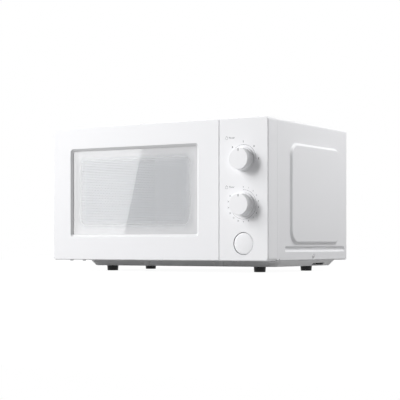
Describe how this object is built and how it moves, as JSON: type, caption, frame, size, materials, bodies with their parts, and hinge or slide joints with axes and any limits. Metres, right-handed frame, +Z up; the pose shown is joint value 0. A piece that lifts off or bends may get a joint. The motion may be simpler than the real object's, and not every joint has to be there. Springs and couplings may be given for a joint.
{
  "type": "microwave oven",
  "caption": "Countertop microwave oven with a side-hinged door, two turn knobs, a round door button, a turntable on rollers and its working parts inside.",
  "frame": {"origin": "on the floor, in the middle of the oven's footprint", "axes": "+X right as seen from the front, +Y back, +Z up"},
  "size_m": [0.46, 0.3344, 0.2638],
  "materials": {
    "white_enamel": "smooth satin white powder paint",
    "white_plastic": "smooth white moulded plastic with a soft sheen",
    "grey_enamel": "light grey painted steel",
    "cavity_enamel": "satin white enamel, a little rough",
    "galvanised": "plain galvanised sheet steel",
    "screen_paint": "pale painted perforated steel",
    "rubber": "matt black rubber",
    "screw_steel": "zinc plated steel",
    "clear": "clear polished pane",
    "tray_glass": "clear pressed glass",
    "mica": "mica sheet with a fine flaky sheen",
    "aluminium": "bright rolled aluminium",
    "copper": "enamelled copper wire",
    "core_iron": "varnished laminated iron",
    "dark_plastic": "black moulded plastic",
    "pale_plastic": "natural white moulded plastic",
    "board": "green lacquered circuit board",
    "spring_steel": "bright spring wire"
  },
  "bodies": {
    "cabinet": {"outer_shell": "white_enamel", "rear_panel": "grey_enamel", "base_plate": "grey_enamel", "front_plate": "white_enamel", "oven_cavity": "cavity_enamel", "control_fascia": "white_plastic", "feet": "rubber", "foot_screws": "screw_steel", "cabinet_screws": "screw_steel", "base_screws": "screw_steel", "upper_hinge": "galvanised", "lower_hinge": "galvanised", "waveguide": "galvanised", "waveguide_cover": "mica", "magnetron_frame": "galvanised", "magnetron_fins": "aluminium", "magnetron_antenna": "copper", "filter_box": "galvanised", "transformer_core": "core_iron", "transformer_windings": "copper", "capacitor": "aluminium", "capacitor_clamp": "galvanised", "diode": "dark_plastic", "fan_bracket": "galvanised", "fan_motor": "core_iron", "air_duct": "pale_plastic", "lamp_holder": "pale_plastic", "oven_lamp": "clear", "turntable_motor": "galvanised", "thermal_cutouts": "dark_plastic", "noise_filter_board": "board", "latch_board": "pale_plastic", "interlock_switches": "dark_plastic", "power_selector": "dark_plastic", "timer_unit": "dark_plastic", "cord_bushing": "rubber", "component_screws": "screw_steel", "button_spring": "spring_steel"},
    "door": {"door_frame": "white_plastic", "window_pane": "clear", "door_plate": "screen_paint", "inner_film": "clear", "choke_cover": "pale_plastic", "latch_spring": "spring_steel"},
    "latch": {"latch_hooks": "pale_plastic"},
    "power_control": {"power_knob": "white_plastic", "power_shaft": "screw_steel"},
    "timer_control": {"timer_knob": "white_plastic", "timer_shaft": "screw_steel"},
    "button": {"door_button": "white_plastic"},
    "lever": {"release_lever": "pale_plastic"},
    "turntable_drive": {"drive_shaft": "screw_steel", "drive_coupler": "pale_plastic"},
    "tray": {"glass_tray": "tray_glass"},
    "ring": {"roller_ring": "pale_plastic"},
    "wheel_1": {"roller_1": "pale_plastic"},
    "wheel_2": {"roller_2": "pale_plastic"},
    "wheel_3": {"roller_3": "pale_plastic"},
    "fan": {"fan_shaft": "screw_steel", "fan_blade": "pale_plastic"}
  },
  "joints": [
    {"name": "door_swing", "type": "hinge", "parent": "cabinet", "child": "door", "pos_m": [-0.216, -0.13035, 0.14205], "axis": [0, 0, -1], "range_deg": [0, 100]},
    {"name": "latch_lift", "type": "slide", "parent": "door", "child": "latch", "axis": [0, 0, 1], "range_m": [0, 0.004], "stiffness_N_per_m": 150, "springref_m": -0.003, "deforming": ["latch_spring"]},
    {"name": "power_turn", "type": "hinge", "parent": "cabinet", "child": "power_control", "pos_m": [0.179, -0.14915, 0.1931], "axis": [0, 1, 0], "range_deg": [-45, 90]},
    {"name": "timer_turn", "type": "hinge", "parent": "cabinet", "child": "timer_control", "pos_m": [0.179, -0.14915, 0.1162], "axis": [0, 1, 0], "range_deg": [0, 300]},
    {"name": "button_press", "type": "slide", "parent": "cabinet", "child": "button", "axis": [0, 1, 0], "range_m": [0, 0.005], "stiffness_N_per_m": 400, "springref_m": -0.002, "deforming": ["button_spring"]},
    {"name": "lever_turn", "type": "hinge", "parent": "cabinet", "child": "lever", "pos_m": [0.179, -0.10515, 0.0643], "axis": [1, 0, 0], "range_deg": [0, 19.96]},
    {"name": "turntable_spin", "type": "hinge", "parent": "cabinet", "child": "turntable_drive", "pos_m": [-0.0482, 0.02025, 0.0408], "axis": [0, 0, 1], "continuous": true},
    {"name": "tray_lift", "type": "slide", "parent": "turntable_drive", "child": "tray", "axis": [0, 0, 1], "range_m": [0, 0.025]},
    {"name": "ring_spin", "type": "hinge", "parent": "cabinet", "child": "ring", "pos_m": [-0.0482, 0.02025, 0.0481], "axis": [0, 0, 1], "continuous": true},
    {"name": "roller_1_spin", "type": "hinge", "parent": "ring", "child": "wheel_1", "pos_m": [-0.0482, 0.11225, 0.0481], "axis": [0, 1, 0], "continuous": true},
    {"name": "roller_2_spin", "type": "hinge", "parent": "ring", "child": "wheel_2", "pos_m": [-0.12787, -0.02575, 0.0481], "axis": [-0.866, -0.5, 0], "continuous": true},
    {"name": "roller_3_spin", "type": "hinge", "parent": "ring", "child": "wheel_3", "pos_m": [0.03147, -0.02575, 0.0481], "axis": [0.866, -0.5, 0], "continuous": true},
    {"name": "fan_spin", "type": "hinge", "parent": "cabinet", "child": "fan", "pos_m": [0.1716, 0.14055, 0.1803], "axis": [0, 1, 0], "continuous": true}
  ],
  "couplings": [
    {"joint": "lever_turn", "follows": "button_press", "rad_per_m": 68.966},
    {"joint": "ring_spin", "follows": "turntable_spin", "ratio": 0.5},
    {"joint": "roller_1_spin", "follows": "turntable_spin", "ratio": -6.5714},
    {"joint": "roller_2_spin", "follows": "turntable_spin", "ratio": -6.5714},
    {"joint": "roller_3_spin", "follows": "turntable_spin", "ratio": -6.5714}
  ]
}
